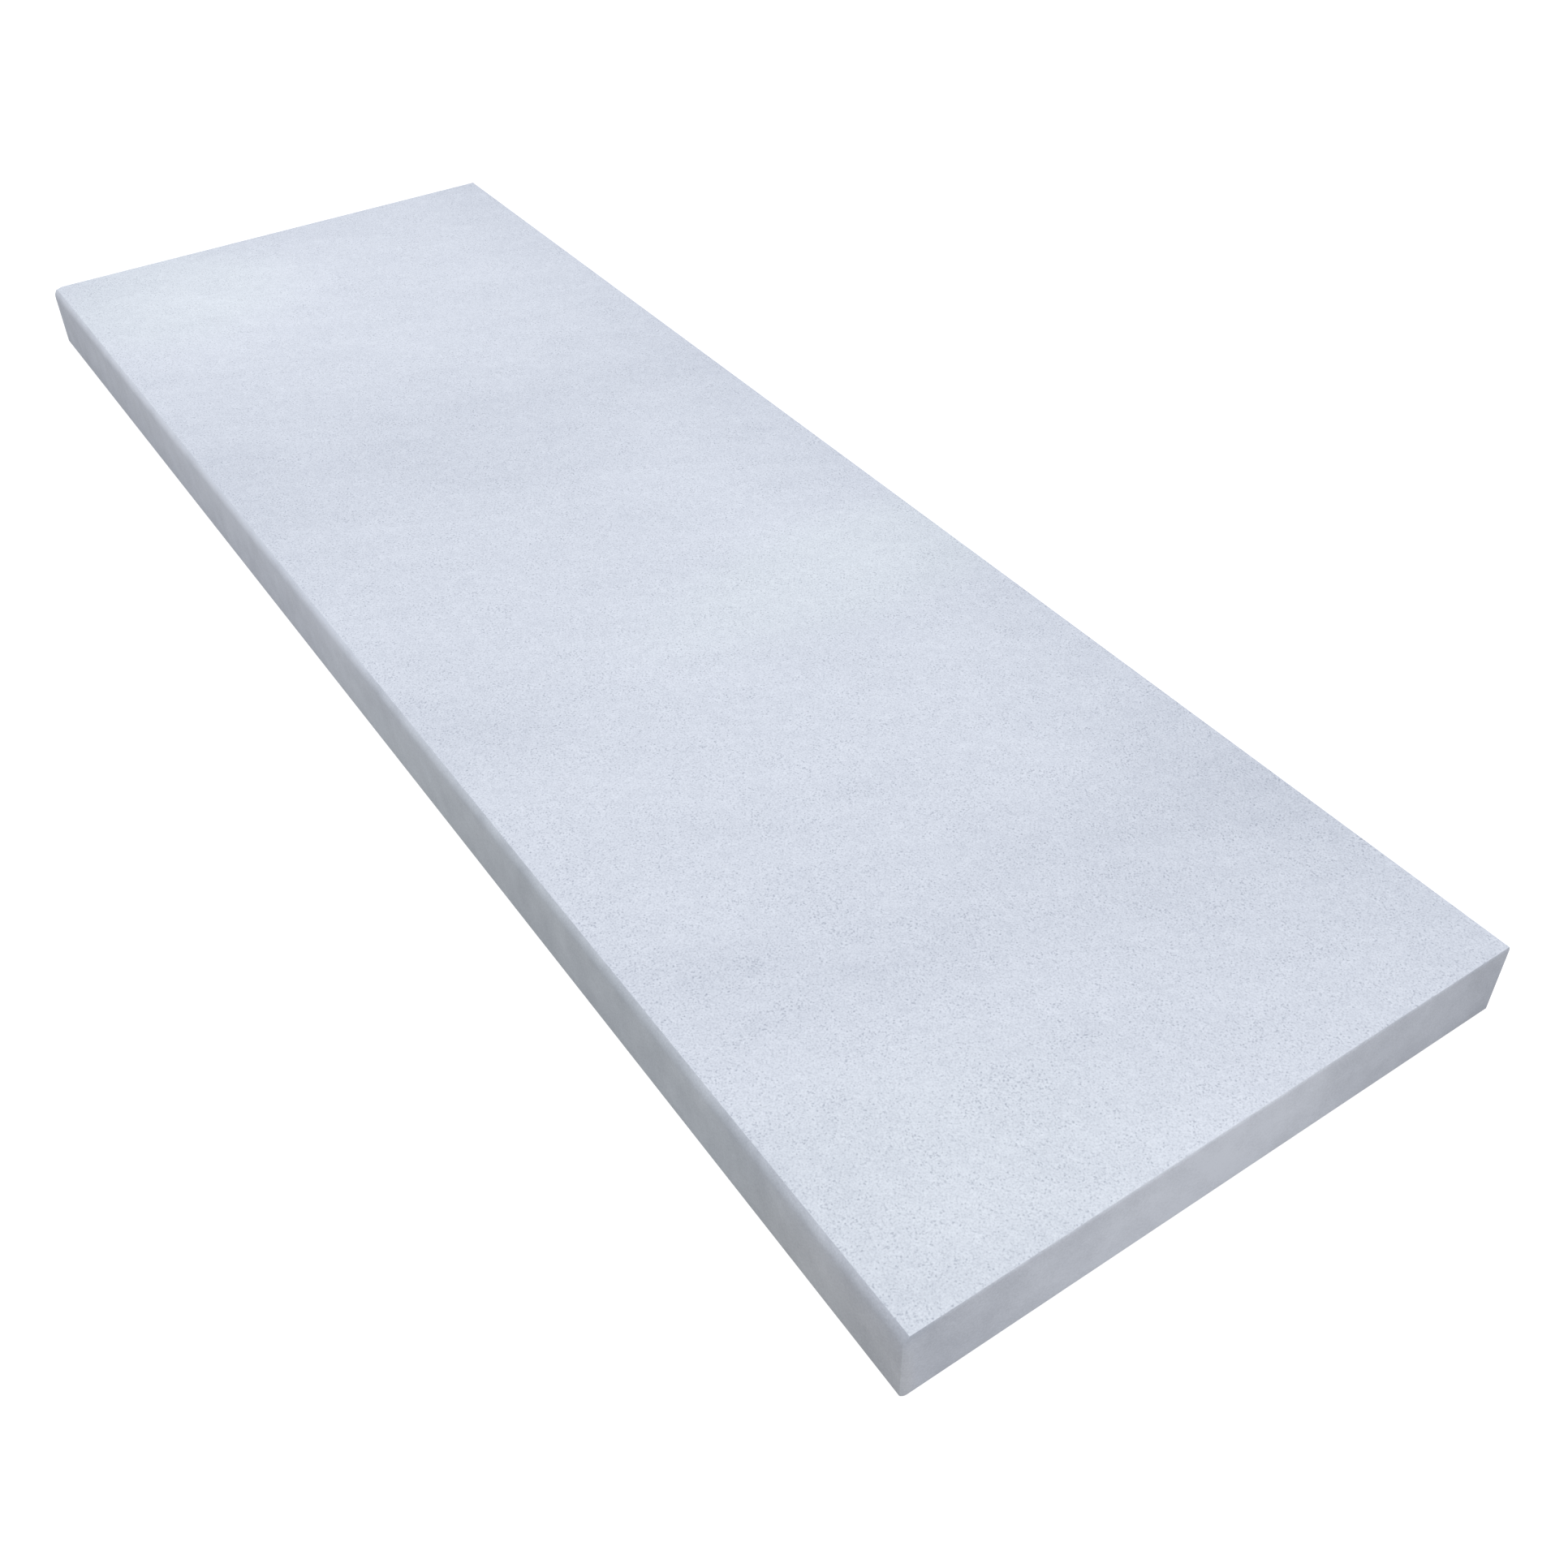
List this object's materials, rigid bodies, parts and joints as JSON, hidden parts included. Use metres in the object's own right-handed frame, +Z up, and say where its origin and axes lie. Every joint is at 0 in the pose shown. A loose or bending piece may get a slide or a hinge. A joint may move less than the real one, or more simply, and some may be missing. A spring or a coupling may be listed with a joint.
{
  "type": "wall coping stone",
  "caption": "Flat rectangular slab of pale stone that caps a free-standing wall, with a textured top face, smooth sawn sides and a rubbed front arris.",
  "frame": {"origin": "middle of the bed, the flat underside that lies on the wall", "axes": "+X along the wall, +Y across the wall from the front face with the rubbed arris to the back face, +Z up"},
  "size_m": [1, 0.33, 0.04],
  "materials": {
    "stone": "sandblasted top face, smooth sawn sides and bed"
  },
  "bodies": {
    "root": {"coping_stone": "stone"}
  },
  "joints": []
}
